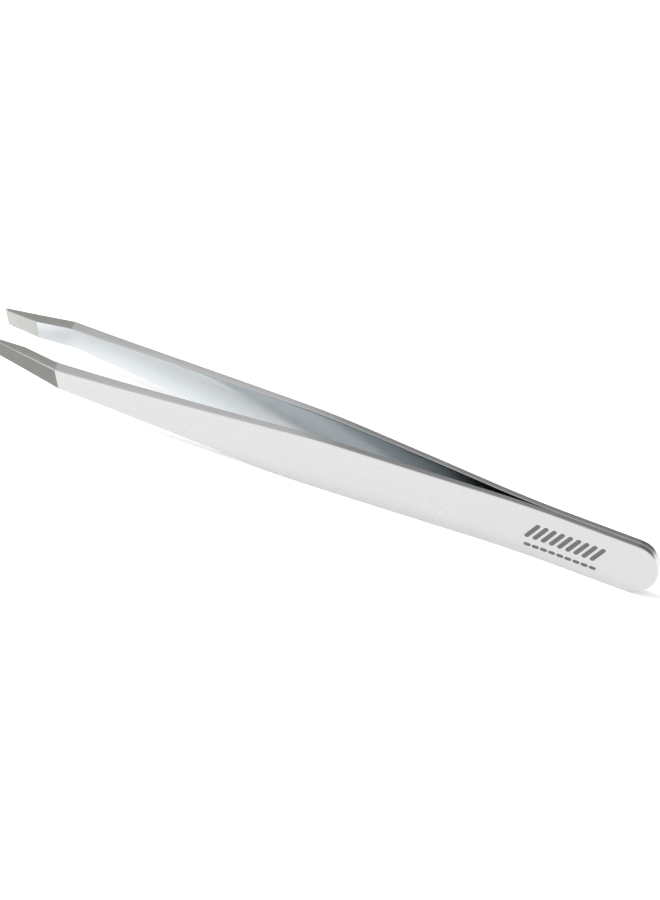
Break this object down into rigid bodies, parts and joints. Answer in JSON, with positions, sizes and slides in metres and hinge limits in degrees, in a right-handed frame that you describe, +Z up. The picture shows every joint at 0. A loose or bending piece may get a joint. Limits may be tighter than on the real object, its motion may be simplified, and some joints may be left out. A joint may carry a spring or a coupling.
{
  "type": "slant tweezers",
  "caption": "Slant-tip tweezers: sprung steel blades welded at a rounded heel, bowed apart, and ground at the front to slanted gripping edges.",
  "frame": {"origin": "centre of the footprint, on the surface that the lower side edges of the blades stand on", "axes": "+X from the gripping tips to the rounded heel, +Y the way the right arm opens, +Z up across the width of the blades"},
  "size_m": [0.095, 0.0094, 0.0094],
  "materials": {
    "blade_steel": "satin",
    "weld_metal": "raw, fused, out of sight between the blades"
  },
  "bodies": {
    "roots": {"left_arm_root": "blade_steel", "right_arm_root": "blade_steel", "spot_welds": "weld_metal"},
    "left_arm": {"left_arm": "blade_steel"},
    "right_arm": {"right_arm": "blade_steel"}
  },
  "joints": [
    {"name": "left_arm_flex", "type": "hinge", "parent": "roots", "child": "left_arm", "pos_m": [0.02185, -0.00044, 0.0047], "axis": [0, 0, -1], "range_deg": [0, 2.16], "stiffness_Nm_per_rad": 1.5},
    {"name": "right_arm_flex", "type": "hinge", "parent": "roots", "child": "right_arm", "pos_m": [0.02185, 0.00044, 0.0047], "axis": [0, 0, 1], "range_deg": [0, 2.16], "stiffness_Nm_per_rad": 1.5}
  ],
  "couplings": [
    {"joint": "right_arm_flex", "follows": "left_arm_flex", "ratio": 1}
  ]
}
